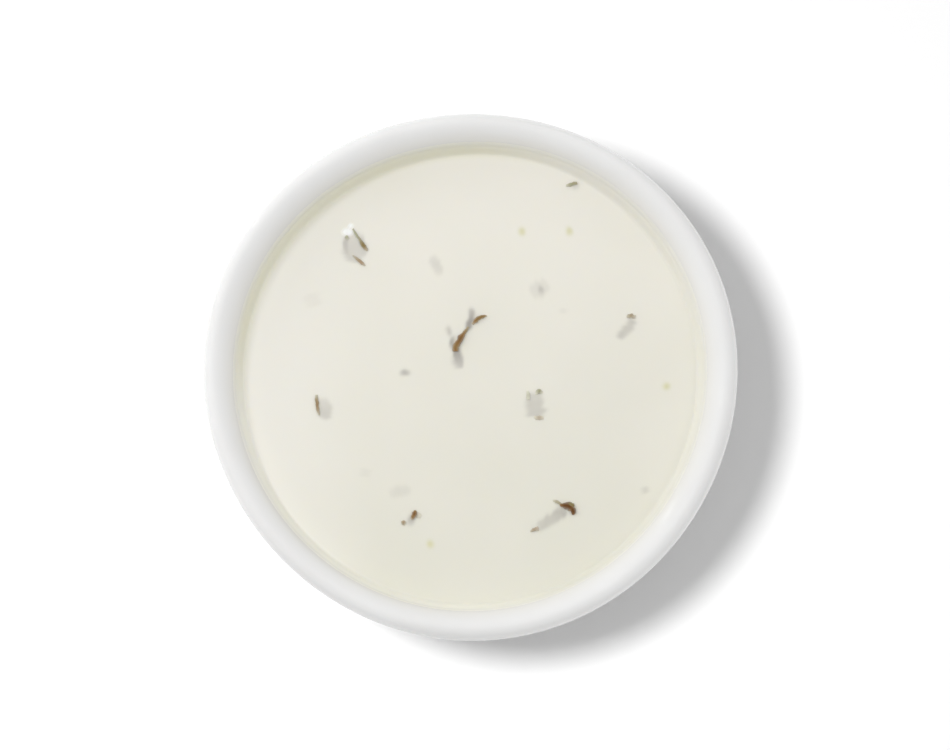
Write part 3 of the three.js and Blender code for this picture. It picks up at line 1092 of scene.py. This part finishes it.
# Soft blotches push that drift this far to and fro.
BLOTCH = 9 * MM

cream, shader = new_finish("herb_dressing")
blotches = spread(cream, noise_pattern(cream, 16 * MM, detail=1.0), 0.3, 0.7, -BLOTCH, BLOTCH)
drifting = spread(cream, total(cream, place_along(cream, "Y"), blotches), -REACH, REACH)
tone = blend_colours(cream, drifting, NEAR_TONE, FAR_TONE)
# Painted light along the left of the dressing.
tone = blend_colours(cream, spread(cream, place_along(cream, "X"), -14 * MM, -REACH), tone, LEFT_TONE)

# %% Tones that the mesh keeps places for
KEPT_TONES = {
    # Painted shade: yellower where the rim shades the cream.
    "shade": (0.81, 0.79, 0.65, 1),
    "thin": (0.82, 0.805, 0.73, 1),
    # Painted light: paler where the near-left edge faces away from the main lamp.
    "painted_pale_edge": (0.95, 0.93, 0.82, 1),
    "veil": (0.3, 0.278, 0.258, 1),
    "yellow": (0.68, 0.66, 0.4, 1),
}
for name, kept_tone in KEPT_TONES.items():
    tone = blend_colours(cream, kept_by_mesh(cream, name), tone, kept_tone)
bead_gloss_and_highlight = kept_by_mesh(cream, "bead")
# Painted highlight: the beads' tone goes to white.
tone = blend_colours(cream, spread(cream, bead_gloss_and_highlight, 0.1, 0.6), tone, (0.99, 0.99, 0.97, 1))
feed(cream, shader.inputs["Base Color"], tone)

# %% Satin shine of the cream
satin = spread(cream, noise_pattern(cream, 3 * MM), 0.3, 0.7, 0.34, 0.42)
feed(cream, shader.inputs["Roughness"], spread(cream, bead_gloss_and_highlight, 0, 0.6, satin, 0.16))
shader.inputs["Subsurface Weight"].default_value = 0.25
shader.inputs["Subsurface Radius"].default_value = (1.0, 0.85, 0.55)
shader.inputs["Subsurface Scale"].default_value = 1 * MM
ripples = {"Height": noise_pattern(cream, 2.5 * MM), "Distance": 0.04 * MM, "Strength": 0.4}
feed(cream, shader.inputs["Normal"], node(cream, "ShaderNodeBump", ripples).outputs["Normal"])

dressing = add_piece(cream_mesh, "herb_dressing", "cream", cream)
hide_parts("dressing")

# %% [markdown]
# ## The herbs' finish
# Soaked dried herbs are dark: olive green where the leaf was whole, and brown where it was a stalk or a
# bruised edge. The dryness kept with each strip chooses between them, and above 1 it goes on to nearly
# black. The film kept with each strip says how much cream still lies on it.

# %% Herb finish
GREENS = (0.17, 0.18, 0.06, 1), (0.26, 0.26, 0.12, 1)
BROWNS = (0.32, 0.18, 0.065, 1), (0.2, 0.1, 0.025, 1)
DARKEST = (0.12, 0.045, 0.006, 1)
CREAM_FILM = (0.82, 0.8, 0.69, 1)

herb, shader = new_finish("dried_herb")
dry_share = kept_by_mesh(herb, "dryness")
leaf_green = blend_colours(herb, noise_pattern(herb, 0.6 * MM), *GREENS)
leaf_brown = blend_colours(herb, noise_pattern(herb, 0.8 * MM), *BROWNS)
leaf = blend_colours(herb, dry_share, leaf_green, leaf_brown)
leaf = blend_colours(herb, spread(herb, dry_share, 1, 1.3), leaf, DARKEST)
covered = blend_colours(herb, kept_by_mesh(herb, "film"), leaf, CREAM_FILM)
feed(herb, shader.inputs["Base Color"], covered)
shader.inputs["Roughness"].default_value = 0.5
shader.inputs["Specular IOR Level"].default_value = 0.2
crinkles = {"Height": noise_pattern(herb, 0.3 * MM), "Distance": 0.05 * MM, "Strength": 0.6}
feed(herb, shader.inputs["Normal"], node(herb, "ShaderNodeBump", crinkles).outputs["Normal"])
herbs = add_piece(herb_mesh, "dried_herbs", "cream", herb)
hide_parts("dressing")

# %% Grain finish
ONION_YELLOWS = (0.7, 0.69, 0.45, 1), (0.64, 0.64, 0.4, 1)

onion, shader = new_finish("onion_grain")
grain_tone = blend_colours(onion, noise_pattern(onion, 0.5 * MM), *ONION_YELLOWS)
feed(onion, shader.inputs["Base Color"], grain_tone)
shader.inputs["Roughness"].default_value = 0.4
grains = add_piece(grain_mesh, "onion_grains", "cream", onion)
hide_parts("dressing")
